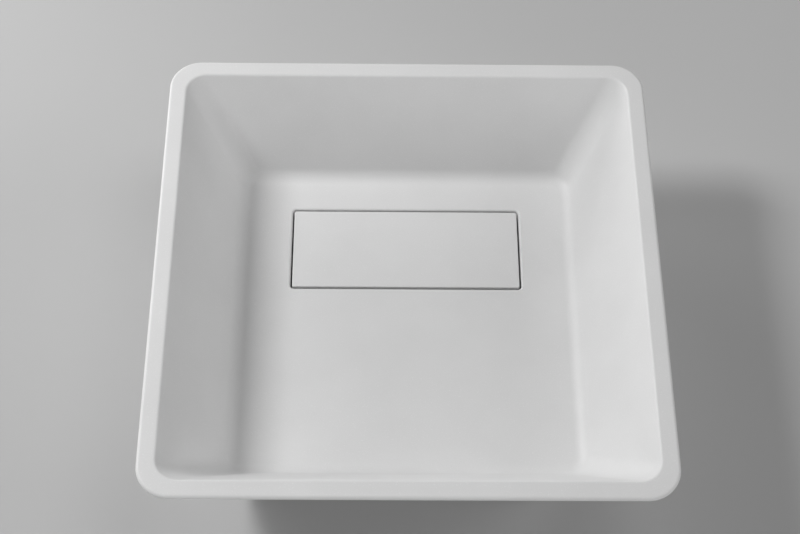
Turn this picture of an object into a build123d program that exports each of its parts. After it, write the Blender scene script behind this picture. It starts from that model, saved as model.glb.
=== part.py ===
from build123d import *
import math
import os

# A square countertop washbasin, cast in one piece, with a lift-off drain cover and an always-open waste.
# Millimetres. Z = 0 is the worktop, +Z is up, -Y is the front, and X = 0 is the middle of the basin.

# Basin: rim and bowl
rim_size = 400.0            # outside of the rim, left to right and front to back
rim_width = 14.0            # level width of the rim's top, and of the walls below it
rim_band = 3.0              # upright band under the rim's outer edge
body_corner = 30.5          # between neighbouring outside walls; looks like 26 from above
bowl_corner = 20.0          # between neighbouring walls of the bowl; looks like 17 from above
bowl_depth = 87.0           # rim top to the floor's outer edge
wall_inset = 44.5           # how far each wall comes in between rim and floor
floor_fall = 1.0            # fall of the floor from its edge to the recess
cove_radius = 13.0          # between walls and floor
rim_round = 2.5             # rounding of the rim's two top edges
band_round = 1.0            # blend from the upright band into the sloping outside

# Basin: drain recess and underside
recess_depth = 25.0         # floor at the recess down to the recess bottom
recess_back = 34.0          # recess edge to the foot of the back wall
recess_draft = 1.5          # degrees, so that the core leaves the casting
recess_round = 2.5          # between recess walls and recess bottom
recess_lip = 3.0            # level strip of floor round the recess
fall_margin = 3.0           # level strip of floor along the coves
lip_round = 2.0             # rounding of the recess mouth
outlet_floor = 17.0         # casting under the recess
floor_thickness = 14.0      # casting over the lightening pockets
foot_width = 16.0           # ring that stands on the worktop
recess_wall = 12.0          # between the recess and the pockets
rib_width = 16.0            # middle rib between the two pockets
pocket_corner = 14.0        # plan radius of the pockets' corners
pocket_draft = 4.0          # degrees
pocket_round = 6.0          # between pocket walls and pocket top
foot_round = 1.5            # outer edge of the foot
outlet_radius = 22.5        # hole for the waste
seat_clearance = 1.0        # between the flange and the edge of its seat
spot_depth = 2.0            # spot face under the outlet, which keeps the gasket off the worktop
spot_clearance = 3.0        # between the gasket and the edge of the spot face

# Drain cover
cover_length = 192.5        # left to right
cover_width = 76.0          # front to back
cover_thickness = 12.0
cover_corner = 2.0          # plan radius
cover_gap = 1.5             # open slot all round, where the water leaves
cover_round = 0.8           # rounding of the cover's top edges
post_radius = 8.0
post_inset = 18.0           # post centre to the cover's edge, left and right
post_inset_front = 16.0     # post centre to the cover's edge, front and back
bumper_radius = 6.5
bumper_height = 3.0         # soft foot below the post
stem_radius = 2.5
stem_length = 6.0
stem_clearance = 0.05       # between the stem and its blind hole, and at the hole's end

# Waste
tail_radius = 20.955        # G 1 1/4 pipe thread, 41.91 mm over the crests
tail_length = 45.0          # threaded part, below the flange
bore_radius = 17.5
spigot_radius = 16.0        # plain end for a trap with a 32 mm inlet
spigot_length = 40.0
spigot_bore = 14.0          # radius
throat_length = 6.0         # cone from the bore to the bore of the spigot
flange_radius = 35.0
flange_thickness = 4.5
flange_chamfer = 1.0        # along the flange's upper edge
grid_radius = 26.5
grid_thickness = 1.5
grid_recess = 2.0           # flange top down to the ledge that carries the grid
grid_ledge = 3.5            # width of that ledge
grid_clearance = 0.1        # round the grid's edge
funnel_depth = 2.0          # from the ledge down to the bore
grid_hole_radius = 4.8
grid_hole_ring = 16.5       # radius of the ring that the holes' centres lie on
grid_hole_count = 8
crossbar_width = 5.0
crossbar_height = 8.0
crossbar_drop = 6.0         # flange underside down to the top of the crossbar
crossbar_root = 0.5         # how far the crossbar runs into the wall of the tail
boss_radius = 6.0
screw_radius = 3.0          # M6
screw_clearance = 0.05      # round the screw, in its boss
screw_head_radius = 5.5
screw_head_height = 2.2
screw_head_chamfer = 0.7
screw_tip = 1.0             # length of screw that stands out under the boss
screw_point = 0.5           # chamfer at the screw's end
slot_width = 1.4
slot_depth = 1.2
seal_thickness = 1.5
seal_width = 12.0
gasket_thickness = 4.0
gasket_width = 12.0
slip_thickness = 1.5
slip_width = 10.0
ring_clearance = 0.25       # between the rings and the tail
nut_flats = 55.0            # across the flats
nut_thickness = 9.0
nut_clearance = 0.05        # between the nut and the tail

overcut = 5.0               # how far a cutter runs past the face it opens

# Levels and places that follow from those sizes
recess_bottom = outlet_floor
floor_level = recess_bottom + recess_depth
floor_edge = floor_level + floor_fall
rim_height = floor_edge + bowl_depth
wall_slope = wall_inset / bowl_depth
wall_lean = math.degrees(math.atan(wall_slope))
mouth_size = rim_size - 2 * rim_width
floor_size = mouth_size - 2 * wall_inset
band_bottom = rim_height - rim_band
base_size = rim_size - 2 * wall_slope * band_bottom
recess_length = cover_length + 2 * cover_gap
recess_width = cover_width + 2 * cover_gap
recess_corner = cover_corner + cover_gap
recess_y = floor_size / 2 - recess_back - recess_width / 2
seat_level = recess_bottom - flange_thickness - seal_thickness
flange_level = seat_level + seal_thickness
flange_top = flange_level + flange_thickness
ledge_level = flange_top - grid_recess
crossbar_top = flange_level - crossbar_drop
crossbar_bottom = crossbar_top - crossbar_height
cover_bottom = floor_level - cover_thickness
post_length = cover_bottom - recess_bottom - bumper_height
tail_bottom = flange_level - tail_length
gasket_bottom = spot_depth - gasket_thickness
slip_bottom = gasket_bottom - slip_thickness
nut_bottom = slip_bottom - nut_thickness
ring_bore = tail_radius + ring_clearance


def ring(inner_radius, outer_radius, bottom, thickness):
    """A flat ring round the waste."""
    outline = Circle(outer_radius) - Circle(inner_radius)
    return Pos(0, recess_y, bottom) * extrude(outline, thickness)


def edges_at(shape, level):
    """The edges that lie wholly at one level."""
    return shape.edges().filter_by_position(Axis.Z, level - 0.001, level + 0.001)


def sloping_block(length, width, depth, low_length, low_width, low_y=0.0):
    """A block under z = 0 with four flat sides, narrowing to a smaller rectangle at its bottom."""
    left = (length - low_length) / 2
    front = (width - low_width) / 2 + low_y
    low_end = (left, front, left + low_length, front + low_width)
    block = Wedge(length, depth, width, *low_end, align=(Align.CENTER, Align.MIN, Align.CENTER))
    return Rot(-90, 0, 0) * block


def moulded_block(length, width, depth, lean, corner, root):
    """A block under z = 0 with leaning sides, round corners between them and a rounded bottom edge."""
    run = depth * math.tan(math.radians(lean))
    block = sloping_block(length, width, depth, length - 2 * run, width - 2 * run)
    block = fillet(block.edges().filter_by(Plane.XY, reverse=True), corner)
    return fillet(edges_at(block, -depth), root)


def raised(block, height):
    """A block with its top face carried straight up."""
    return block + extrude(block.faces().sort_by(Axis.Z)[-1], height)


def bowl_space():
    """The hollow of the bowl: four sloping walls on a coved floor, open above the rim."""
    hollow = moulded_block(mouth_size, mouth_size, bowl_depth, wall_lean, bowl_corner, cove_radius)
    return Pos(0, 0, rim_height) * raised(hollow, overcut)


def floor_fall_space():
    """The shallow dish that leads the water from the edge of the floor to the recess."""
    cove_run = cove_radius * math.tan(math.atan(1 / wall_slope) / 2)
    edge_size = floor_size - 2 * (cove_run + fall_margin)
    mouth_length = recess_length + 2 * recess_lip
    mouth_width = recess_width + 2 * recess_lip
    dish = sloping_block(edge_size, edge_size, floor_fall, mouth_length, mouth_width, recess_y)
    return Pos(0, 0, floor_edge) * raised(dish, overcut)


def recess_space():
    """The pocket under the cover, with the seat of the waste in its bottom and the outlet through it."""
    pocket = moulded_block(recess_length, recess_width, recess_depth, recess_draft, recess_corner,
                           recess_round)
    seat = extrude(Circle(flange_radius + seat_clearance), recess_bottom - seat_level + overcut)
    outlet = extrude(Circle(outlet_radius), seat_level + 2 * overcut)
    space = Pos(0, 0, floor_level) * raised(pocket, overcut)
    space += Pos(0, 0, seat_level) * seat
    space += Pos(0, 0, -overcut) * outlet
    return Pos(0, recess_y, 0) * space


def underside_pocket(side):
    """One lightening pocket in front of the recess. side is -1 for the left one and 1 for the right."""
    left = rib_width / 2
    right = base_size / 2 - foot_width
    front = foot_width - base_size / 2
    back = recess_y - recess_width / 2 - recess_wall
    height = floor_level - floor_thickness
    pocket = moulded_block(right - left, back - front, height, pocket_draft, pocket_corner, pocket_round)
    return Pos(side * (left + right) / 2, (front + back) / 2, 0) * Rot(180, 0, 0) * pocket


def at_recess_mouth(edge):
    """Whether an edge lies on the outline of the recess, inside the level strip of floor round it."""
    place = edge.center() - Vector(0, recess_y, 0)
    half_length = (recess_length + recess_lip) / 2
    half_width = (recess_width + recess_lip) / 2
    return abs(place.X) < half_length and abs(place.Y) < half_width


def make_basin_body():
    """The casting: sloping outside, upright band, rolled rim, bowl, recess and ribbed underside."""
    outside = moulded_block(rim_size, rim_size, band_bottom, wall_lean, body_corner, foot_round)
    body = Pos(0, 0, band_bottom) * raised(outside, rim_band)
    body = fillet(edges_at(body, band_bottom), band_round)
    body -= bowl_space()
    body = fillet(edges_at(body, rim_height), rim_round)
    body -= floor_fall_space()
    body -= recess_space()
    body = fillet(edges_at(body, floor_level).filter_by(at_recess_mouth), lip_round)
    for side in (-1, 1):
        body -= underside_pocket(side)
    spot_radius = ring_bore + gasket_width + spot_clearance
    return body - Pos(0, recess_y, -overcut) * extrude(Circle(spot_radius), spot_depth + overcut)


def post_places():
    """The four places, in plan, of the cover's posts."""
    x = cover_length / 2 - post_inset
    y = cover_width / 2 - post_inset_front
    return [(sx * x, recess_y + sy * y) for sx in (-1, 1) for sy in (-1, 1)]


def make_drain_cover():
    """The cover plate, flush with the floor, and its four posts, each with a blind hole for a bumper."""
    outline = Pos(0, recess_y, cover_bottom) * RectangleRounded(cover_length, cover_width, cover_corner)
    plate = extrude(outline, cover_thickness)
    plate = fillet(edges_at(plate, floor_level), cover_round)
    for x, y in post_places():
        plate += Pos(x, y, cover_bottom) * extrude(Circle(post_radius), -post_length)
        hole = extrude(Circle(stem_radius + stem_clearance), stem_length + stem_clearance)
        plate -= Pos(x, y, cover_bottom - post_length) * hole
    return plate


def make_cover_bumpers():
    """Four soft feet: a disc that stands on the recess bottom and a stem pressed into the post."""
    bumpers = []
    for x, y in post_places():
        disc = extrude(Circle(bumper_radius), bumper_height)
        stem = extrude(Circle(stem_radius), bumper_height + stem_length)
        bumpers.append(Pos(x, y, recess_bottom) * (disc + stem))
    return Compound(children=bumpers)


def make_waste_body():
    """The brass waste: flange, ledge for the grid, funnel, threaded tail, plain spigot and crossbar."""
    ledge_inner = grid_radius - grid_ledge
    seat_edge = grid_radius + grid_clearance
    spigot_bottom = tail_bottom - spigot_length
    with BuildSketch(Plane.XZ) as section:
        with BuildLine():
            Polyline(
                (bore_radius, tail_bottom + throat_length),
                (spigot_bore, tail_bottom),
                (spigot_bore, spigot_bottom),
                (spigot_radius, spigot_bottom),
                (spigot_radius, tail_bottom),
                (tail_radius, tail_bottom),
                (tail_radius, flange_level),
                (flange_radius, flange_level),
                (flange_radius, flange_top),
                (seat_edge, flange_top),
                (seat_edge, ledge_level),
                (ledge_inner, ledge_level),
                (bore_radius, ledge_level - funnel_depth),
                close=True,
            )
        make_face()
    body = revolve(section.sketch, Axis.Z)
    body = chamfer(edges_at(body, flange_top).sort_by(SortBy.LENGTH)[-1], flange_chamfer)
    bar = Rectangle(2 * (bore_radius + crossbar_root), crossbar_width)
    spider = bar + Circle(boss_radius) - Circle(screw_radius + screw_clearance)
    body += Pos(0, 0, crossbar_bottom) * extrude(spider, crossbar_height)
    return Pos(0, recess_y, 0) * body


def make_strainer_grid():
    """The flat grid, with a ring of round holes and a hole for its screw."""
    outline = Circle(grid_radius) - Circle(screw_radius + screw_clearance)
    outline -= PolarLocations(grid_hole_ring, grid_hole_count) * Circle(grid_hole_radius)
    return Pos(0, recess_y, ledge_level) * extrude(outline, grid_thickness)


def make_strainer_screw():
    """The screw through the grid into the crossbar: low round head with a slot, plain shank."""
    seat = ledge_level + grid_thickness
    tip = crossbar_bottom - screw_tip
    crown = seat + screw_head_height
    head = Pos(0, 0, seat) * extrude(Circle(screw_head_radius), screw_head_height)
    head = chamfer(edges_at(head, crown), screw_head_chamfer)
    shank = Pos(0, 0, tip) * extrude(Circle(screw_radius), seat - tip)
    shank = chamfer(edges_at(shank, tip), screw_point)
    slot = Pos(0, 0, crown - slot_depth) * extrude(Rectangle(4 * screw_head_radius, slot_width), slot_depth)
    return Pos(0, recess_y, 0) * (head + shank - slot)


def make_back_nut():
    """The hexagon nut under the slip washer, with both faces chamfered at the corners."""
    corner_radius = nut_flats / math.sqrt(3)
    prism = extrude(RegularPolygon(corner_radius, 6), nut_thickness)
    chamfer_size = corner_radius - nut_flats / 2
    blank = extrude(Circle(corner_radius), nut_thickness)
    blank = chamfer(edges_at(blank, 0.0) + edges_at(blank, nut_thickness), chamfer_size / 2, chamfer_size)
    nut = prism & blank
    nut -= extrude(Circle(tail_radius + nut_clearance), nut_thickness)
    return Pos(0, recess_y, nut_bottom) * nut


parts = {
    "basin_body": make_basin_body(),
    "drain_cover": make_drain_cover(),
    "cover_bumpers": make_cover_bumpers(),
    "waste_body": make_waste_body(),
    "strainer_grid": make_strainer_grid(),
    "strainer_screw": make_strainer_screw(),
    "flange_seal": ring(ring_bore, ring_bore + seal_width, seat_level, seal_thickness),
    "lower_gasket": ring(ring_bore, ring_bore + gasket_width, gasket_bottom, gasket_thickness),
    "slip_washer": ring(ring_bore, ring_bore + slip_width, slip_bottom, slip_thickness),
    "back_nut": make_back_nut(),
}

os.makedirs("parts", exist_ok=True)
for name, shape in parts.items():
    export_step(shape, f"parts/{name}.step")
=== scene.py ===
# %% [markdown]
# A square countertop washbasin, cast in white solid surface, with a lift-off drain cover and a waste
# under it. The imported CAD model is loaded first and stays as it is. Every new piece is built in the
# same place, in metres, and rides on the body that carries it, so the cover can still be lifted out.

# %% Load the frame
import math

import bmesh
import bpy
from mathutils import Matrix, Vector


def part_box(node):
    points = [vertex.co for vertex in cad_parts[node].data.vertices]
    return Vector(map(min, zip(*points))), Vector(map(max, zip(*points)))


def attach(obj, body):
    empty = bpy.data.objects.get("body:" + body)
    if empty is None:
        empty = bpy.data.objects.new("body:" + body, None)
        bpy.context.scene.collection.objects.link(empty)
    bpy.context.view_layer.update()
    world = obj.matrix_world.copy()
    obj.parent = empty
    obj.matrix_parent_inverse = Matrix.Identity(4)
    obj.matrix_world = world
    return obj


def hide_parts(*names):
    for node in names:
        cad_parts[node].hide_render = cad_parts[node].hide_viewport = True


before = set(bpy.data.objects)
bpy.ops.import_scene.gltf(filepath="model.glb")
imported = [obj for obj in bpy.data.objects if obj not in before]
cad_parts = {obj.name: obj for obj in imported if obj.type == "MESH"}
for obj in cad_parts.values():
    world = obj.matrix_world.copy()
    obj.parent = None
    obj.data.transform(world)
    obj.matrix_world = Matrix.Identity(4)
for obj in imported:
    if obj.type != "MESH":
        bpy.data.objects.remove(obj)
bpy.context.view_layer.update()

MM = 0.001


# %% [markdown]
# A basin like this is drawn as level outlines, one over the other, and the mould maker joins them. It
# could also be a cube with bevelled edges, but then a corner's radius couldn't change with the
# height. So each outline here is a flat quad whose four corners are bevelled round, and bridge_loops
# skins one outline to the next. Every outline has the same number of points, so the skin is clean
# quads.

# %% Outlines, circles and skins
CORNER_STEPS = 14
AROUND = 4 * (CORNER_STEPS + 1)
LIFT = Vector((0.0, 0.0, 1.0))


def outline(bm, half_x, half_y, radius, level, centre=(0.0, 0.0)):
    """A level rectangle with round corners, as a closed loop of edges."""
    made = bmesh.ops.create_grid(bm, x_segments=1, y_segments=1, size=1.0)["verts"]
    bmesh.ops.scale(bm, vec=(half_x, half_y, 1.0), verts=made)
    bmesh.ops.translate(bm, vec=(centre[0], centre[1], level), verts=made)
    bent = bmesh.ops.bevel(bm, geom=made, offset=radius, offset_type="OFFSET", segments=CORNER_STEPS,
                           profile=0.5, affect="VERTICES", material=-1)
    flat = bent["verts"][0].link_faces[0]
    edges = list(flat.edges)
    bmesh.ops.delete(bm, geom=[flat], context="FACES_ONLY")
    return edges


def circle(bm, radius, level, centre=(0.0, 0.0), points=AROUND):
    """A level circle, as a closed loop of edges."""
    place = Matrix.Translation((centre[0], centre[1], level))
    made = bmesh.ops.create_circle(bm, segments=points, radius=radius, matrix=place)["verts"]
    return list(dict.fromkeys(edge for vert in made for edge in vert.link_edges))


def skin(bm, loops):
    """Joins each loop to the next with quads.

    Each pair is held a metre apart meanwhile: between two loops on one level, bridge_loops can't tell
    which way round they run. A dictionary keeps each item once and in order, so every run is the same.
    """
    for one, other in zip(loops, loops[1:]):
        lifted = list(dict.fromkeys(vert for edge in other for vert in edge.verts))
        bmesh.ops.translate(bm, vec=LIFT, verts=lifted)
        bmesh.ops.bridge_loops(bm, edges=one + other)
        bmesh.ops.translate(bm, vec=-LIFT, verts=lifted)


print("every outline has", AROUND, "points")

# %% [markdown]
# The casting comes first. Its outside size is read from its CAD box. What a box can't say, such as a
# wall's lean or a corner's radius, is written in millimetres, as a maker's drawing would give it.

# %% Sizes of the casting
basin_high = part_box("basin_body")[1]
cover_low, cover_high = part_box("drain_cover")
rim_half = basin_high[0]
rim_level = basin_high[2]
floor_level = cover_high[2]

rim_width = 14 * MM
rim_round = 2.5 * MM
rim_band = 3 * MM
band_round = 1 * MM
body_corner = 30.5 * MM
bowl_corner = 20 * MM
wall_inset = 44.5 * MM
cove_radius = 13 * MM
floor_fall = 1 * MM
foot_round = 1.5 * MM

floor_edge = floor_level + floor_fall
bowl_depth = rim_level - floor_edge
band_bottom = rim_level - rim_band
mouth_half = rim_half - rim_width
slope = wall_inset / bowl_depth
lean = math.atan(1 / slope)
print("rim", round(2 * rim_half / MM, 1), "mm wide, at a height of", round(rim_level / MM, 1), "mm")
print("bowl", round(bowl_depth / MM, 1), "mm deep, walls", round(math.degrees(lean), 1), "degrees")

# %% [markdown]
# The walls lean by one angle inside and outside, and every edge is rounded by a circle that touches
# both of its faces. Two sections describe a wall: one at the middle of a side, and one along the
# diagonal, where the corner's own rounding makes it lean less. From the two, each level gets its half
# size and its corner radius.

# %% Sections of the walls
ROOT2 = math.sqrt(2)
half_angle = math.acos(slope ** 2 / (1 + slope ** 2)) / 2
corner_bulge = (1 / math.cos(half_angle) - 1) * math.sqrt(1 + 2 * slope ** 2)
band_turn = math.pi / 2 - lean
blend_top = band_bottom + band_round * math.tan(band_turn / 2)

# corner_bulge is how far a round corner stays back from the sharp one, for each metre of its radius. A
# section is how far the wall's top is from the middle, and how far the wall goes out for each metre up.
inner_side = (mouth_half, slope)
inner_corner = (ROOT2 * mouth_half - corner_bulge * bowl_corner, ROOT2 * slope)
outer_side = (rim_half, slope)
outer_corner = (ROOT2 * rim_half - corner_bulge * body_corner, ROOT2 * slope)


def climb(radius, angle):
    """How far a rounding rises from its level end, once it has turned by an angle."""
    return radius * (1 - math.cos(angle))


def reach(radius, rise):
    """How far a rounding goes sideways, once it has risen this far from its level end."""
    return math.sqrt(max(radius ** 2 - (radius - rise) ** 2, 0.0))


def inside(level, mouth, lean_out):
    """How far the bowl's wall is from the middle at a level: cove, wall, then the rim's rounding."""
    steep = math.atan(1 / lean_out)
    foot = mouth - lean_out * bowl_depth
    rise = level - floor_edge
    drop = rim_level - level
    if rise < climb(cove_radius, steep):
        return foot - cove_radius * math.tan(steep / 2) + reach(cove_radius, rise)
    if drop < climb(rim_round, steep):
        return mouth + rim_round * math.tan(steep / 2) - reach(rim_round, drop)
    return foot + lean_out * rise


def outside(level, rim, lean_out):
    """The same for the outside: rounding, upright band, blend, wall, then the foot's rounding."""
    steep = math.atan(1 / lean_out)
    drop = rim_level - level
    if drop < rim_round:
        return rim - rim_round + reach(rim_round, drop)
    if level > blend_top:
        return rim
    if level > blend_top - band_round * math.cos(steep):
        return rim - band_round + reach(band_round, band_round - blend_top + level)
    if level < climb(foot_round, steep):
        foot = rim - lean_out * band_bottom - foot_round * math.tan(steep / 2)
        return foot + reach(foot_round, level)
    return rim - lean_out * (band_bottom - level)


def square(bm, level, section, side, corner, out=0.0):
    """The outline of a wall at a level, or a little further out on a flat face."""
    half = section(level, *side) + out
    diagonal = section(level, *corner) + out
    return outline(bm, half, half, (ROOT2 * half - diagonal) / (ROOT2 - 1), level)


as_seen = corner_bulge / (ROOT2 - 1)
from_above = [round(as_seen * radius / MM, 1) for radius in (body_corner, bowl_corner)]
print("seen from above, the corner radii look like", from_above, "mm, outside and inside")

# %% [markdown]
# The drain recess is cast with walls that lean by 1.5 degrees, so that the mould comes out, and with
# round edges that a sponge can follow. It could be cut out of the floor with a boolean, but that
# leaves no clean loops to round. So it is the first part of one long skin. Beside each rounding lies
# a holding outline, half a millimetre out on the flat face, which keeps the flat faces flat when they
# are shaded.

# %% Drain recess
HOLD = 0.5 * MM
bumper_low, bumper_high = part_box("cover_bumpers")
recess_bottom = bumper_low[2]
recess_depth = floor_level - recess_bottom
recess_lean = math.radians(1.5)
recess_steep = math.pi / 2 - recess_lean
recess_round = 2.5 * MM
recess_lip = 3 * MM
lip_round = 2 * MM
cover_gap = 1.5 * MM
cover_corner = 2 * MM

drain = (0.0, (cover_low[1] + cover_high[1]) / 2)
cover_half_x = cover_high[0]
cover_half_y = cover_high[1] - drain[1]
recess_half_x = cover_half_x + cover_gap
recess_half_y = cover_half_y + cover_gap
recess_corner = cover_corner + cover_gap


def arc(start, end, steps):
    """Evenly spaced angles, both ends included."""
    return [start + (end - start) * step / steps for step in range(steps + 1)]


def recess_ring(bm, inset, level):
    """The recess's outline, a little smaller or larger."""
    radius = max(recess_corner - inset, HOLD)
    return outline(bm, recess_half_x - inset, recess_half_y - inset, radius, level, drain)


shell = bmesh.new()
loops = []
base_inset = recess_depth * math.tan(recess_lean)
for angle in arc(0.0, recess_steep, steps=5):
    inset = base_inset + recess_round * (math.tan(recess_steep / 2) - math.sin(angle))
    loops.append(recess_ring(shell, inset, recess_bottom + climb(recess_round, angle)))
for level in (recess_bottom + recess_round + HOLD, floor_level - lip_round - HOLD):
    loops.append(recess_ring(shell, (floor_level - level) * math.tan(recess_lean), level))
for angle in arc(recess_steep, 0.0, steps=5):
    inset = lip_round * (math.sin(angle) - math.tan(recess_steep / 2))
    loops.append(recess_ring(shell, inset, floor_level - climb(lip_round, angle)))
loops.append(recess_ring(shell, -lip_round - HOLD, floor_level))
loops.append(recess_ring(shell, -recess_lip, floor_level))
recess_floor_loop = loops[0]
print("recess", round(2 * recess_half_x / MM, 1), "by", round(2 * recess_half_y / MM, 1), "mm")

# %% [markdown]
# From the recess the skin goes on without a break: the floor, which falls by a millimetre to the
# drain, the cove, the wall, the rim, the upright band under it, the outside and the foot. Water has
# no edge to stand on, and the hand feels one surface, because each part starts where the last one
# ends.

# %% Bowl, rim and outside
fall_margin = 3 * MM
bowl = (inside, inner_side, inner_corner)
loops.append(square(shell, floor_edge, *bowl, out=-fall_margin))
loops.append(square(shell, floor_edge, *bowl, out=-HOLD))
for angle in arc(0.0, lean, steps=10):
    loops.append(square(shell, floor_edge + climb(cove_radius, angle), *bowl))
loops.append(square(shell, floor_edge + climb(cove_radius, lean) + HOLD, *bowl))
loops.append(square(shell, rim_level - climb(rim_round, lean) - HOLD, *bowl))
for angle in arc(lean, 0.0, steps=6):
    loops.append(square(shell, rim_level - climb(rim_round, angle), *bowl))
loops.append(square(shell, rim_level, *bowl, out=HOLD))

back = (outside, outer_side, outer_corner)
loops.append(square(shell, rim_level, *back, out=-HOLD))
for angle in arc(0.0, math.pi / 2, steps=7):
    loops.append(square(shell, rim_level - climb(rim_round, angle), *back))
for angle in arc(0.0, band_turn, steps=4):
    loops.append(square(shell, blend_top - band_round * math.sin(angle), *back))
loops.append(square(shell, blend_top - band_round * math.sin(band_turn) - HOLD, *back))
loops.append(square(shell, climb(foot_round, lean) + HOLD, *back))
for angle in arc(lean, 0.0, steps=5):
    loops.append(square(shell, climb(foot_round, angle), *back))
foot_loop = square(shell, 0.0, *back, out=-HOLD)
loops.append(foot_loop)
skin(shell, loops)
print("basin shell:", len(loops), "outlines,", len(shell.faces), "faces")

# %% [markdown]
# The outlet is drilled after casting, so its edges are plain circles: the seat of the flange above,
# the hole, and a spot face below that the gasket presses on. The recess's floor, with the seat in it,
# is a flat face with a hole, which triangle_fill closes.

# %% Outlet
AROUND_FINE = 96
seal_low, seal_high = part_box("flange_seal")
gasket_low, gasket_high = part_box("lower_gasket")
waste_low, waste_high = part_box("waste_body")
outlet_radius = 22.5 * MM
seat_clearance = 1 * MM
spot_clearance = 3 * MM
spot_depth = 2 * MM
seat_radius = waste_high[0] + seat_clearance
spot_radius = gasket_high[0] + spot_clearance

outlet_steps = [
    (seat_radius, recess_bottom), (seat_radius, seal_low[2]),
    (outlet_radius, seal_low[2]), (outlet_radius, spot_depth),
    (spot_radius, spot_depth), (spot_radius, 0.0),
]
outlet_rings = [circle(shell, radius, level, drain, AROUND_FINE) for radius, level in outlet_steps]
skin(shell, outlet_rings)
recess_floor = recess_floor_loop + outlet_rings[0]
bmesh.ops.triangle_fill(shell, edges=recess_floor, use_beauty=True, normal=(0, 0, 1))
print("outlet", round(2 * outlet_radius / MM, 1), "mm wide, seat", round(2 * seat_radius / MM, 1), "mm")

# %% [markdown]
# A thick casting cracks as it cures, and it is heavy. So two pockets are moulded into the underside,
# and what they leave is a foot all round, a rib, and the block round the outlet. They are skinned
# upwards from their mouths, with a lean of 4 degrees and a large rounding, and the foot's flat face
# is filled round them.

# %% Pockets in the underside
foot_width = 16 * MM
rib_width = 16 * MM
recess_wall = 12 * MM
floor_thickness = 14 * MM
pocket_corner = 14 * MM
pocket_lean = math.radians(4)
pocket_steep = math.pi / 2 - pocket_lean
pocket_round = 6 * MM

base_half = rim_half - slope * band_bottom
pocket_left = rib_width / 2
pocket_right = base_half - foot_width
pocket_front = foot_width - base_half
pocket_back = drain[1] - recess_half_y - recess_wall
pocket_depth = floor_level - floor_thickness
pocket_half_x = (pocket_right - pocket_left) / 2
pocket_half_y = (pocket_back - pocket_front) / 2
mouths = []
for side in (-1, 1):
    centre = (side * (pocket_left + pocket_right) / 2, (pocket_front + pocket_back) / 2)
    rings = [outline(shell, pocket_half_x, pocket_half_y, pocket_corner, 0.0, centre)]
    for angle in arc(pocket_steep, 0.0, steps=6):
        level = pocket_depth - climb(pocket_round, angle)
        rounding = pocket_round * (math.tan(pocket_steep / 2) - math.sin(angle))
        inset = pocket_depth * math.tan(pocket_lean) + rounding
        radius = pocket_corner - inset + level * math.tan(pocket_lean)
        half_x, half_y = pocket_half_x - inset, pocket_half_y - inset
        rings.append(outline(shell, half_x, half_y, radius, level, centre))
    skin(shell, rings)
    bmesh.ops.edgeloop_fill(shell, edges=rings[-1])
    mouths += rings[0]
underside = foot_loop + mouths + outlet_rings[-1]
bmesh.ops.triangle_fill(shell, edges=underside, use_beauty=True, normal=(0, 0, -1))
print("pockets", round(2 * pocket_half_x / MM, 1), "by", round(2 * pocket_half_y / MM, 1), "mm")

# %% [markdown]
# Outlines that meet at one place are merged now, and the faces are turned outwards. The count of open
# edges has to be 0, because a cast block is one closed surface.

# %% Close the casting
MERGE = 0.005 * MM
bmesh.ops.remove_doubles(shell, verts=shell.verts, dist=MERGE)
bmesh.ops.recalc_face_normals(shell, faces=shell.faces)
open_edges = sum(not edge.is_manifold for edge in shell.edges)
print("basin:", len(shell.faces), "faces,", open_edges, "open edges")

# %% [markdown]
# The materials come next, because each piece is given its own as it is made. Colours are written as
# the eye sees them, as hex values, and one function turns them into the linear numbers that the
# shader works in. Another adds any node with its settings and its links, so that a material reads as
# a short list.

# %% Colours and nodes
def colour(text):
    """A hex colour as linear red, green, blue and alpha."""
    channels = [int(text[i:i + 2], 16) / 255 for i in (1, 3, 5)]
    return [c / 12.92 if c <= 0.04045 else ((c + 0.055) / 1.055) ** 2.4 for c in channels] + [1.0]


def plug(tree, socket, value):
    """Links a socket to another node's output, or sets its number or colour."""
    if isinstance(value, bpy.types.NodeSocket):
        tree.links.new(value, socket)
    else:
        socket.default_value = value


def add(tree, kind, inputs=None, **settings):
    """A new node: its sockets are set or linked by name, its settings by attribute."""
    made = tree.nodes.new(kind)
    for name, value in settings.items():
        setattr(made, name, value)
    for name, value in (inputs or {}).items():
        plug(tree, made.inputs[name], value)
    return made


def start(name):
    """A material with its shader, and the Object coordinates that its patterns sit on."""
    made = bpy.data.materials.new(name)
    made.use_nodes = True
    tree = made.node_tree
    return made, tree, tree.nodes["Principled BSDF"], add(tree, "ShaderNodeTexCoord").outputs["Object"]


def finish_material(tree, shader, **sockets):
    """Links or sets the shader's sockets; a name's underscores stand for spaces."""
    for name, value in sockets.items():
        plug(tree, shader.inputs[name.replace("_", " ")], value)


print("middle grey #808080 is", round(colour("#808080")[0], 3), "in linear light")

# %% [markdown]
# Every finish here is made of a few patterns: noise, lines and a relief. They sit on Object
# coordinates, which are metres, so a pattern's size can be given in millimetres of the real surface
# and is turned into the node's scale in one place.

# %% Patterns
def stretch(tree, where, scale):
    """Coordinates that run faster along some axes, so that a pattern on them becomes lines."""
    return add(tree, "ShaderNodeMapping", {"Vector": where, "Scale": scale}).outputs["Vector"]


def noise(tree, where, size, detail=2.0, roughness=0.5):
    """A soft pattern of cells, each about size millimetres wide."""
    inputs = {"Vector": where, "Scale": 1 / (size * MM), "Detail": detail, "Roughness": roughness}
    return add(tree, "ShaderNodeTexNoise", inputs).outputs["Fac"]


def between(tree, value, low, high, from_low=0.3, from_high=0.7):
    """Turns a pattern's value into numbers between low and high."""
    inputs = {"Value": value, "From Min": from_low, "From Max": from_high,
              "To Min": low, "To Max": high}
    return add(tree, "ShaderNodeMapRange", inputs).outputs["Result"]


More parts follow.
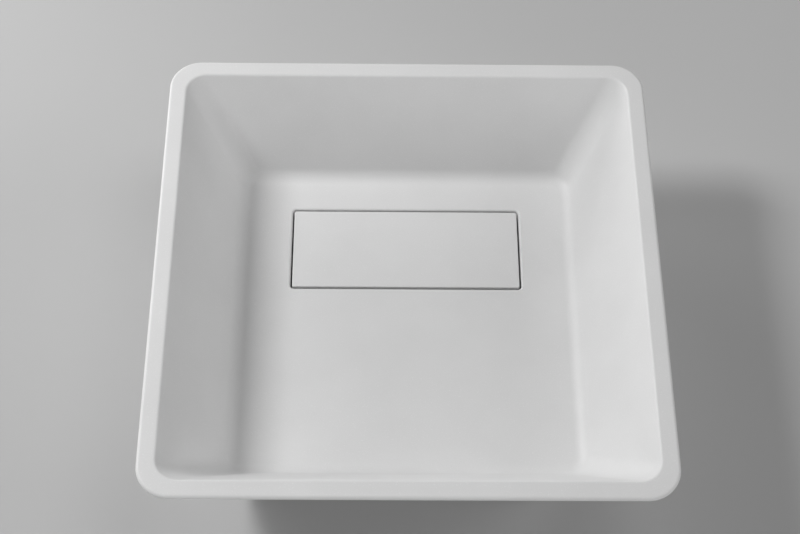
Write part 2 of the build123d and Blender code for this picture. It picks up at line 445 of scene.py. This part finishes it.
def blend(tree, amount, first, second):
    """One of two colours, or a mix of them. Sockets 0, 6 and 7 are the amount and the two colours."""
    return add(tree, "ShaderNodeMix", {0: amount, 6: first, 7: second}, data_type="RGBA").outputs[2]


def bump(tree, height, depth, under=None):
    """A relief that stands depth metres high, over another relief where one is given."""
    inputs = {"Height": height, "Distance": depth, "Strength": 1.0}
    if under is not None:
        inputs["Normal"] = under
    return add(tree, "ShaderNodeBump", inputs).outputs["Normal"]


print("a pattern of 4 mm cells has a scale of", round(1 / (4 * MM)))

# %% [markdown]
# Solid surface is mineral powder cast in acrylic or polyester resin, and sanded matt. From far away
# it is an even, soft white. Nearer, it has faint clouds from the pour, a fine grain of mineral, and
# the haze of the last sanding, which makes its sheen slightly uneven. The real grains are under 0.1
# mm, too fine to show, so they are drawn at 0.65 and 0.9 mm. The resin sets the IOR, which is 1.5.

# %% Solid surface
def solid_surface():
    """Cast and sanded: clouds and grain in the colour, haze in the gloss, scratches in the relief."""
    made, tree, shader, where = start("solid_surface_matte_white")
    clouds = noise(tree, where, size=70.0, detail=3.0)
    white = blend(tree, between(tree, clouds, 0.0, 1.0), colour("#dadada"), colour("#dfdfdf"))
    dark_grains = noise(tree, where, size=0.65, roughness=0.6)
    dark_share = between(tree, dark_grains, 0.0, 0.35, from_low=0.62, from_high=0.75)
    white = blend(tree, dark_share, white, colour("#cacaca"))
    pale_grains = noise(tree, where, size=0.9, detail=1.0)
    pale_share = between(tree, pale_grains, 0.0, 0.5, from_low=0.64, from_high=0.74)
    white = blend(tree, pale_share, white, colour("#eaeaea"))
    haze = noise(tree, stretch(tree, where, (1.0, 6.0, 3.0)), size=25.0, detail=4.0, roughness=0.65)
    scratches = noise(tree, stretch(tree, where, (1.0, 9.0, 4.0)), size=1.1, roughness=0.7)
    relief = bump(tree, noise(tree, where, size=3.8), depth=0.03 * MM)
    relief = bump(tree, scratches, depth=0.004 * MM, under=relief)
    sheen = between(tree, haze, 0.46, 0.58)
    finish_material(tree, shader, Base_Color=white, Roughness=sheen, Normal=relief,
                    Specular_IOR_Level=0.45, IOR=1.5)
    return made


white_stone = solid_surface()
print("made", white_stone.name)

# %% [markdown]
# The waste is chromed brass: a mirror with a bluish tone. What tells the eye that it is used is a
# little haze where it was wiped, and round, dull spots where drops of tap water dried.

# %% Chrome
def water_spots(tree, where, size=4.5):
    """1 in the middle of each dried drop, 0 between them. The cells are size millimetres apart."""
    inputs = {"Vector": where, "Scale": 1 / (size * MM), "Randomness": 1.0}
    distance = add(tree, "ShaderNodeTexVoronoi", inputs).outputs["Distance"]
    return between(tree, distance, 1.0, 0.0, from_low=0.1, from_high=0.28)


def chrome():
    """Plated and polished: nearly a mirror."""
    made, tree, shader, where = start("chrome_on_brass")
    haze = noise(tree, where, size=11.0, detail=4.0, roughness=0.6)
    spots = water_spots(tree, where)
    tone = blend(tree, spots, colour("#dfe2e5"), colour("#c9cccd"))
    wiped = between(tree, haze, 0.07, 0.16)
    dried = between(tree, spots, 0.0, 0.12, from_low=0.0, from_high=1.0)
    rough = add(tree, "ShaderNodeMath", {0: wiped, 1: dried}, operation="ADD").outputs["Value"]
    relief = bump(tree, noise(tree, where, size=2.5), depth=0.006 * MM)
    finish_material(tree, shader, Base_Color=tone, Metallic=1.0, Roughness=rough, Normal=relief)
    return made


chromed = chrome()
print("made", chromed.name)

# %% [markdown]
# The grid is punched from brushed stainless sheet. Brushing leaves long, fine lines that spread the
# highlight sideways. Here they are noise on coordinates that run forty times faster across the lines
# than along them.

# %% Brushed steel
def brushed_steel():
    """Brushed along X: the same lines change the colour, the gloss and the relief."""
    made, tree, shader, where = start("stainless_steel_brushed")
    strokes = noise(tree, stretch(tree, where, (1.0, 40.0, 40.0)), size=8.0, detail=5.0, roughness=0.7)
    tone = blend(tree, between(tree, strokes, 0.0, 1.0), colour("#a9abab"), colour("#c6c7c6"))
    tone = blend(tree, water_spots(tree, where, size=4.0), tone, colour("#999a98"))
    sheen = between(tree, strokes, 0.26, 0.42)
    relief = bump(tree, strokes, depth=0.01 * MM)
    finish_material(tree, shader, Base_Color=tone, Metallic=1.0, Roughness=sheen, Normal=relief)
    return made


steel = brushed_steel()
print("made", steel.name)

# %% [markdown]
# The back nut is bare brass from a lathe. Its turning lines are rings round the waste's axis, 0.35 mm
# apart, so the coordinates are moved there first. Handling has stained it brown in soft patches.

# %% Turned brass
def turned_brass():
    """Turned and left bare: rings round the drain's axis, under brown patches."""
    made, tree, shader, where = start("brass_turned")
    ring_spacing = 0.35 * MM
    spacing_at_scale_one = math.tau / 20
    to_axis = {"Vector": where, "Location": (-drain[0], -drain[1], 0.0)}
    centred = add(tree, "ShaderNodeMapping", to_axis).outputs["Vector"]
    scale = spacing_at_scale_one / ring_spacing
    inputs = {"Vector": centred, "Scale": scale, "Distortion": 0.6, "Detail": 1.0}
    rings = add(tree, "ShaderNodeTexWave", inputs, wave_type="RINGS",
                rings_direction="Z").outputs["Fac"]
    stain = noise(tree, where, size=14.0, detail=4.0, roughness=0.6)
    tone = blend(tree, between(tree, stain, 0.0, 1.0), colour("#b88f4a"), colour("#8f6b35"))
    bright = between(tree, rings, 0.0, 0.25, from_low=0.0, from_high=1.0)
    tone = blend(tree, bright, tone, colour("#dcb978"))
    sheen = between(tree, stain, 0.3, 0.48)
    relief = bump(tree, rings, depth=0.008 * MM)
    finish_material(tree, shader, Base_Color=tone, Metallic=1.0, Roughness=sheen, Normal=relief)
    return made


brass = turned_brass()
print("made", brass.name)

# %% [markdown]
# The soft parts are matt. Moulded rubber is near black, with a grey bloom of wax and dust. The
# silicone feet are milky and let some light through, by 4 mm. The slip washer is unpainted plastic,
# slightly yellow, with flow lines from its mould.

# %% Rubber, silicone and plastic
def rubber():
    """Moulded black rubber with a grey bloom."""
    made, tree, shader, where = start("rubber_black")
    bloom = noise(tree, where, size=6.0, detail=4.0, roughness=0.65)
    tone = blend(tree, between(tree, bloom, 0.0, 1.0), colour("#1c1c1d"), colour("#2f2f30"))
    relief = bump(tree, noise(tree, where, size=0.55), depth=0.02 * MM)
    sheen = between(tree, bloom, 0.62, 0.8)
    finish_material(tree, shader, Base_Color=tone, Roughness=sheen, Normal=relief,
                    Specular_IOR_Level=0.35)
    return made


def silicone():
    """Moulded clear silicone: milky, matt and slightly see-through."""
    made, tree, shader, where = start("silicone_clear_matt")
    milk = noise(tree, where, size=8.0, detail=3.0)
    tone = blend(tree, between(tree, milk, 0.0, 1.0), colour("#d3d6d6"), colour("#e3e5e4"))
    sheen = between(tree, milk, 0.38, 0.5)
    relief = bump(tree, noise(tree, where, size=1.1), depth=0.01 * MM)
    light_path = (4 * MM, 4 * MM, 4 * MM)
    finish_material(tree, shader, Base_Color=tone, Roughness=sheen, Normal=relief, IOR=1.41,
                    Subsurface_Weight=0.35, Subsurface_Radius=light_path, Subsurface_Scale=1.0)
    return made


def natural_plastic():
    """Unpainted moulded plastic with flow lines."""
    made, tree, shader, where = start("plastic_natural")
    streaks = noise(tree, stretch(tree, where, (1.0, 5.0, 1.0)), size=14.0, detail=3.0, roughness=0.6)
    tone = blend(tree, between(tree, streaks, 0.0, 1.0), colour("#d9d5c8"), colour("#e6e3d8"))
    sheen = between(tree, streaks, 0.4, 0.55)
    relief = bump(tree, noise(tree, where, size=0.7), depth=0.01 * MM)
    finish_material(tree, shader, Base_Color=tone, Roughness=sheen, Normal=relief)
    return made


black_rubber = rubber()
clear_silicone = silicone()
plastic = natural_plastic()
print("made", black_rubber.name, clear_silicone.name, plastic.name)

# %% [markdown]
# Now each bmesh becomes an object. It is shaded smooth, with its hard edges kept hard, and then it
# rides on its body and stands for the CAD node of the same part. The basin's casting is ready, so it
# goes first.

# %% Basin casting
HARD_EDGE = math.radians(32)


def piece(bm, name, node, body, material):
    """Turns a bmesh into a finished object that stands for a CAD node."""
    mesh = bpy.data.meshes.new(name)
    bm.to_mesh(mesh)
    bm.free()
    mesh.shade_smooth()
    mesh.set_sharp_from_angle(angle=HARD_EDGE)
    mesh.materials.append(material)
    made = bpy.data.objects.new(name, mesh)
    bpy.context.scene.collection.objects.link(made)
    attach(made, body)
    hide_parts(node)
    low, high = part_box(node)
    off = [min(v.co[axis] for v in mesh.vertices) - low[axis] for axis in range(3)]
    off += [max(v.co[axis] for v in mesh.vertices) - high[axis] for axis in range(3)]
    most = max(abs(value) for value in off) / MM
    print(name, "has", len(mesh.polygons), "faces; box within", round(most, 3), "mm of the node's")


piece(shell, "basin_casting", "basin_body", "basin", white_stone)

# %% [markdown]
# The cover is a plate of the same material, sanded to a small, even rounding along its top edge. It
# is made as the basin is, from outlines, because a bevel on a finished box would leave no holding
# outline on the flat top.

# %% Cover plate
cover_thickness = 12 * MM
cover_round = 0.8 * MM
cover_bottom = floor_level - cover_thickness


def cover_ring(bm, inset, level):
    """The cover's outline, a little smaller."""
    return outline(bm, cover_half_x - inset, cover_half_y - inset, cover_corner - inset, level, drain)


plate = bmesh.new()
rings = [cover_ring(plate, cover_round + HOLD, floor_level)]
bmesh.ops.edgeloop_fill(plate, edges=rings[0])
for angle in arc(0.0, math.pi / 2, steps=6):
    inset = cover_round * (1 - math.sin(angle))
    rings.append(cover_ring(plate, inset, floor_level - climb(cover_round, angle)))
rings.append(cover_ring(plate, 0.0, cover_bottom + HOLD))
rings.append(cover_ring(plate, HOLD / 2, cover_bottom))
skin(plate, rings)
bmesh.ops.edgeloop_fill(plate, edges=rings[-1])
print("cover", round(2 * cover_half_x / MM, 1), "by", round(2 * cover_half_y / MM, 1), "mm")

# %% [markdown]
# Four cast posts carry the cover. Each has a blind hole, and a soft foot is pressed into it, so the
# plate neither rocks nor rings when it is put back. The posts are stacks of circles, whose tops sink
# a little into the plate. The feet are turned from a profile, which is how their mould is made, and
# soften rounds their edges.

# %% Posts and feet
post_radius = 8 * MM
post_bottom = cover_low[2]
post_inset_side = 18 * MM
post_inset_front = 16 * MM
post_x = cover_half_x - post_inset_side
post_y = cover_half_y - post_inset_front
stem_radius = 2.5 * MM
stem_length = 6 * MM
AROUND_SMALL = 48
foot_radius = bumper_high[0] - post_x
foot_edge = 0.6 * MM


def lathe(bm, profile, centre=drain, closed=True, steps=AROUND_FINE):
    """Turns a profile of (radius, level) points once round an upright axis."""
    points = [bm.verts.new((centre[0] + radius, centre[1], level)) for radius, level in profile]
    ends = points[1:] + points[:1] if closed else points[1:]
    lines = [bm.edges.new(pair) for pair in zip(points, ends)]
    bmesh.ops.spin(bm, geom=points + lines, cent=(*centre, 0.0), axis=(0, 0, 1), angle=math.tau,
                   steps=steps, use_merge=True, use_duplicate=False)


def soften(bm, width, segments=3, sharper=40):
    """Rounds every edge that is sharper than an angle, as handling and polishing do."""
    bmesh.ops.remove_doubles(bm, verts=bm.verts, dist=MERGE)
    bmesh.ops.recalc_face_normals(bm, faces=bm.faces)
    limit = math.radians(sharper)
    edges = [edge for edge in bm.edges if edge.is_manifold and edge.calc_face_angle() > limit]
    bmesh.ops.bevel(bm, geom=edges, offset=width, offset_type="OFFSET", segments=segments, profile=0.5,
                    affect="EDGES", material=-1, clamp_overlap=True)


places = [(side * post_x, drain[1] + end * post_y) for side in (-1, 1) for end in (-1, 1)]
post_steps = [
    (post_radius, cover_bottom + HOLD), (post_radius, post_bottom + HOLD),
    (post_radius - HOLD, post_bottom), (stem_radius, post_bottom),
    (stem_radius, post_bottom + stem_length),
]
foot_profile = [
    (0.0, recess_bottom), (foot_radius, recess_bottom), (foot_radius, post_bottom),
    (stem_radius, post_bottom), (stem_radius, bumper_high[2]), (0.0, bumper_high[2]),
]
feet = bmesh.new()
for place in places:
    post_rings = [circle(plate, radius, level, place) for radius, level in post_steps]
    skin(plate, post_rings)
    bmesh.ops.edgeloop_fill(plate, edges=post_rings[0])
    bmesh.ops.edgeloop_fill(plate, edges=post_rings[-1])
    lathe(feet, foot_profile, place, closed=False, steps=AROUND_SMALL)
bmesh.ops.recalc_face_normals(plate, faces=plate.faces)
soften(feet, foot_edge)
piece(plate, "cover_plate", "drain_cover", "cover", white_stone)
piece(feet, "cover_feet", "cover_bumpers", "cover", clear_silicone)

# %% [markdown]
# The waste is turned from one bar of brass, so one profile and one spin make it: a flange, a ledge
# for the grid, a cone into the bore, a tail that is cut down to the root of its thread, and a plain
# end for the trap.

# %% Waste turning
grid_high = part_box("strainer_grid")[1]
flange_radius = waste_high[0]
flange_top = waste_high[2]
flange_thickness = 4.5 * MM
flange_level = flange_top - flange_thickness
tail_length = 45 * MM
tail_bottom = flange_level - tail_length
tail_radius = 20.955 * MM
thread_depth = 1.479 * MM
root_radius = tail_radius - thread_depth
bore_radius = 17.5 * MM
throat_length = 6 * MM
spigot_radius = 16 * MM
spigot_bore = 14 * MM
grid_recess = 2 * MM
grid_clearance = 0.1 * MM
grid_ledge = 3.5 * MM
ledge_level = flange_top - grid_recess
ledge_outer = grid_high[0] + grid_clearance
ledge_inner = grid_high[0] - grid_ledge
funnel_depth = 2 * MM
waste_edge = 0.5 * MM

waste = bmesh.new()
lathe(waste, [
    (bore_radius, tail_bottom + throat_length), (spigot_bore, tail_bottom), (spigot_bore, waste_low[2]),
    (spigot_radius, waste_low[2]), (spigot_radius, tail_bottom), (root_radius, tail_bottom),
    (root_radius, flange_level), (flange_radius, flange_level), (flange_radius, flange_top),
    (ledge_outer, flange_top), (ledge_outer, ledge_level), (ledge_inner, ledge_level),
    (bore_radius, ledge_level - funnel_depth),
])
soften(waste, waste_edge)
waste_length = flange_top - waste_low[2]
print("waste", round(waste_length / MM, 1), "mm long, flange", round(2 * flange_radius / MM, 1), "mm")

# %% [markdown]
# A pipe thread has 11 turns to the inch. A lathe tool cuts it as one groove. Here it is one ridge
# instead: a small profile that spin sweeps round the tail, with a rise at each step, so it ends in a
# real run-out. The ridge sinks a tenth of a millimetre into the tail, so that no gap shows.

# %% Thread
INCH = 25.4 * MM
thread_pitch = INCH / 11
ridge_sink = 0.1 * MM
flank = 0.46 * thread_pitch
crest = 0.1 * thread_pitch
crossbar_drop = 6 * MM
turns = int((tail_length - crossbar_drop) / thread_pitch)
steps_per_turn = 36
thread_start = tail_bottom + thread_pitch

ridge = [
    (root_radius - ridge_sink, -flank), (tail_radius, -crest),
    (tail_radius, crest), (root_radius - ridge_sink, flank),
]
points = [waste.verts.new((radius, drain[1], thread_start + height)) for radius, height in ridge]
first = [waste.edges.new(pair) for pair in zip(points, points[1:] + points[:1])]
swept = bmesh.ops.spin(waste, geom=points + first, cent=(*drain, 0.0), axis=(0, 0, 1),
                       angle=math.tau * turns, steps=steps_per_turn * turns,
                       dvec=(0, 0, thread_pitch / steps_per_turn), use_merge=False, use_duplicate=False)
last = [item for item in swept["geom_last"] if isinstance(item, bmesh.types.BMEdge)]
bmesh.ops.edgeloop_fill(waste, edges=first)
bmesh.ops.edgeloop_fill(waste, edges=last)
print("thread:", turns, "turns of", round(thread_pitch / MM, 3), "mm")

# %% [markdown]
# A crossbar is brazed across the bore, with a round boss in the middle that the grid's screw goes
# into. The boss is turned and the two arms are bars that run into it and into the wall, so the joints
# are hidden in the metal.

# %% Crossbar
crossbar_width = 5 * MM
crossbar_height = 8 * MM
crossbar_root = 0.5 * MM
boss_radius = 6 * MM
screw_bore = 3.05 * MM
overlap = 1 * MM
crossbar_top = flange_level - crossbar_drop
crossbar_bottom = crossbar_top - crossbar_height
arm = bore_radius + crossbar_root - boss_radius + overlap

boss = bmesh.new()
lathe(boss, [
    (screw_bore, crossbar_bottom), (boss_radius, crossbar_bottom),
    (boss_radius, crossbar_top), (screw_bore, crossbar_top),
], steps=AROUND_SMALL)
for side in (-1, 1):
    made = bmesh.ops.create_cube(boss, size=1.0)["verts"]
    bmesh.ops.scale(boss, vec=(arm, crossbar_width, crossbar_height), verts=made)
    middle = side * (boss_radius - overlap + arm / 2)
    bmesh.ops.translate(boss, vec=(middle, drain[1], (crossbar_top + crossbar_bottom) / 2), verts=made)
soften(boss, waste_edge)
bridge = bpy.data.meshes.new("crossbar")
boss.to_mesh(bridge)
boss.free()
waste.from_mesh(bridge)
bpy.data.meshes.remove(bridge)
bmesh.ops.recalc_face_normals(waste, faces=waste.faces)
piece(waste, "waste_turning", "waste_body", "basin", chromed)

# %% [markdown]
# Three rings seal the waste: a thin one under the flange, a thick one under the basin, and a hard
# washer that lets the nut turn without dragging the rubber. Each is a square profile, spun, and its
# edges are rounded by as much as its mould or its stamping leaves.

# %% Sealing rings
washer_low, washer_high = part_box("slip_washer")
rubber_width = 12 * MM
washer_width = 10 * MM


def sealing_ring(name, node, low, high, width, edge, material):
    """A flat ring inside a node's box, with soft edges."""
    outer = high[0]
    inner = outer - width
    ring = bmesh.new()
    lathe(ring, [(inner, low[2]), (outer, low[2]), (outer, high[2]), (inner, high[2])])
    soften(ring, edge)
    piece(ring, name, node, "basin", material)


sealing_ring("flange_seal_ring", "flange_seal", seal_low, seal_high, rubber_width, 0.3 * MM,
             black_rubber)
sealing_ring("lower_gasket_ring", "lower_gasket", gasket_low, gasket_high, rubber_width, 0.8 * MM,
             black_rubber)
sealing_ring("slip_ring", "slip_washer", washer_low, washer_high, washer_width, 0.3 * MM,
             plastic)

# %% [markdown]
# The grid, its screw and the back nut have the right shape in CAD already, so drawing them again
# would gain nothing. Their meshes are copied, the loose triangles are merged, and the edges are
# eased, because metal without a bright line along its edges looks like paper. The CAD nodes
# themselves aren't touched.

# %% Grid, screw and nut
COPY_MERGE = 0.002 * MM
COPY_SHARP = math.radians(25)


def eased_copy(node, name, width, material):
    """A copy of a CAD node's mesh, merged, with its sharp edges rounded."""
    copied = bmesh.new()
    copied.from_mesh(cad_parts[node].data)
    bmesh.ops.remove_doubles(copied, verts=copied.verts, dist=COPY_MERGE)
    edges = [edge for edge in copied.edges if edge.is_manifold and edge.calc_face_angle() > COPY_SHARP]
    bmesh.ops.bevel(copied, geom=edges, offset=width, offset_type="OFFSET", segments=2, profile=0.5,
                    affect="EDGES", material=-1, clamp_overlap=True)
    piece(copied, name, node, "basin", material)


eased_copy("strainer_grid", "grid_plate", 0.15 * MM, steel)
eased_copy("strainer_screw", "grid_screw", 0.12 * MM, steel)
eased_copy("back_nut", "hexagon_nut", 0.25 * MM, brass)

# %% [markdown]
# The camera looks down into the bowl from the front, a little to the left, as in the photograph. Its
# place and its lens came from matching the square rim and the cover's outline, which fix the viewing
# angle.

# %% Camera
SENSOR_WIDTH = 36.0
LENS_LENGTH = 72.47
CAMERA_PLACE = (-0.0219, -0.6632, 1.2118)
pitch = math.radians(58.63)
yaw = math.radians(1.36)
roll = math.radians(1.50)

lens = bpy.data.cameras.new("camera")
lens.sensor_width = SENSOR_WIDTH
lens.lens = LENS_LENGTH
camera = bpy.data.objects.new("camera", lens)
bpy.context.scene.collection.objects.link(camera)
turned = Matrix.Rotation(-yaw, 4, "Z")
tilted = Matrix.Rotation(math.pi / 2 - pitch, 4, "X")
rolled = Matrix.Rotation(roll, 4, "Z")
camera.matrix_world = Matrix.Translation(CAMERA_PLACE) @ turned @ tilted @ rolled
bpy.context.scene.camera = camera
print("camera looks down by", round(math.degrees(pitch), 1), "degrees; lens", LENS_LENGTH, "mm")

# %% [markdown]
# The basin stands on a plain pale surface with a cut-out for its waste, as a worktop has. Near the
# basin the floor is an ordinary matt surface that takes its shadow. Farther out it fades into a plain
# glow of the room's own brightness, as a curved studio backdrop does, so that no dark horizon shows
# in a low view. Only the camera and mirror-like rays see that glow, so it puts no light on the
# object.

# %% Floor
ROOM_SEEN = 0.45
FLOOR_HALF = 3.0
FLOOR_CORNER = 0.2
CUTOUT_RADIUS = 40 * MM
FADE_START = 0.8
FADE_END = 2.0


def seen(tree):
    """1 for rays from the camera, off a mirror or through clear material, and 0 for all other light."""
    rays = add(tree, "ShaderNodeLightPath").outputs
    inputs = {0: rays["Is Camera Ray"], 1: rays["Is Glossy Ray"]}
    either = add(tree, "ShaderNodeMath", inputs, operation="MAXIMUM").outputs["Value"]
    inputs = {0: either, 1: rays["Is Transmission Ray"]}
    return add(tree, "ShaderNodeMath", inputs, operation="MAXIMUM").outputs["Value"]


top = bmesh.new()
top_edge = outline(top, FLOOR_HALF, FLOOR_HALF, FLOOR_CORNER, 0.0)
cutout = circle(top, CUTOUT_RADIUS, 0.0, drain, AROUND_FINE)
bmesh.ops.triangle_fill(top, edges=top_edge + cutout, use_beauty=True, normal=(0, 0, 1))
bmesh.ops.recalc_face_normals(top, faces=top.faces)
floor_mesh = bpy.data.meshes.new("floor")
top.to_mesh(floor_mesh)
top.free()
floor = bpy.data.objects.new("floor", floor_mesh)
bpy.context.scene.collection.objects.link(floor)

pale, tree, shader, where = start("pale_floor")
finish_material(tree, shader, Base_Color=colour("#bebebe"), Roughness=0.8, Specular_IOR_Level=0.2)
away = add(tree, "ShaderNodeVectorMath", {0: where}, operation="LENGTH").outputs["Value"]
fade = add(tree, "ShaderNodeMapRange", {"Value": away, "From Min": FADE_START, "From Max": FADE_END},
           interpolation_type="SMOOTHSTEP").outputs["Result"]
shown = add(tree, "ShaderNodeMath", {0: fade, 1: seen(tree)}, operation="MULTIPLY").outputs["Value"]
glow = add(tree, "ShaderNodeEmission", {"Strength": ROOM_SEEN}).outputs["Emission"]
layers = {0: shown, 1: shader.outputs["BSDF"], 2: glow}
both = add(tree, "ShaderNodeMixShader", layers).outputs["Shader"]
tree.links.new(both, tree.nodes["Material Output"].inputs["Surface"])
floor_mesh.materials.append(pale)
print("floor", 2 * FLOOR_HALF, "m wide, fading from", FADE_START, "m out")

# %% [markdown]
# Five soft boxes light the bowl. The key stands behind it to the left and gives the shaded left wall
# and the bright right one. Two low boxes lift the rim and the walls that face them, and two fills
# keep the shadows open. Their powers were set so that the wall, the floor and the cover have the
# brightness they have in the photograph, while white stays below clipping.

# %% Lights
AIM = Vector((0.0, 0.0, 0.09))


def soft_box(name, elevation, azimuth, distance, width, height, power):
    """A soft light that faces the bowl. Azimuth runs clockwise from the back, seen from above."""
    up = math.radians(elevation)
    around = math.radians(azimuth)
    way = Vector((math.cos(up) * math.sin(around), math.cos(up) * math.cos(around), math.sin(up)))
    data = bpy.data.lights.new(name, "AREA")
    data.shape = "RECTANGLE"
    data.size = width
    data.size_y = height
    data.energy = power
    made = bpy.data.objects.new(name, data)
    bpy.context.scene.collection.objects.link(made)
    made.location = AIM + way * distance
    made.rotation_euler = (-way).to_track_quat("-Z", "Y").to_euler()
    made.visible_camera = False
    print(name, "of", power, "W at", [round(value, 2) for value in made.location])


soft_box("key_back_left", elevation=45, azimuth=292, distance=1.8, width=0.45, height=0.45, power=21.2)
soft_box("low_front", elevation=9.5, azimuth=180, distance=3.0, width=1.5, height=1.15, power=31.0)
soft_box("low_back_left", elevation=9.5, azimuth=307, distance=3.0, width=1.5, height=1.15, power=31.0)
soft_box("fill_right", elevation=25, azimuth=90, distance=3.0, width=1.5, height=1.5, power=22.5)
soft_box("high_right", elevation=68, azimuth=60, distance=3.0, width=1.5, height=1.5, power=16.0)

# %% [markdown]
# The world lights almost nothing. Only the camera and mirror-like rays see it as a pale room, so that
# the metal parts have something to reflect.

# %% World
ROOM_LIGHT = 0.02
world = bpy.data.worlds.new("studio")
world.use_nodes = True
strength = {"Value": seen(world.node_tree), "To Min": ROOM_LIGHT, "To Max": ROOM_SEEN}
glow = add(world.node_tree, "ShaderNodeMapRange", strength).outputs["Result"]
room = world.node_tree.nodes["Background"]
room.inputs["Color"].default_value = (1.0, 1.0, 1.0, 1.0)
world.node_tree.links.new(glow, room.inputs["Strength"])
bpy.context.scene.world = world
bpy.context.scene.view_settings.view_transform = "Standard"
print("the room looks", ROOM_SEEN, "bright and lights with", ROOM_LIGHT)
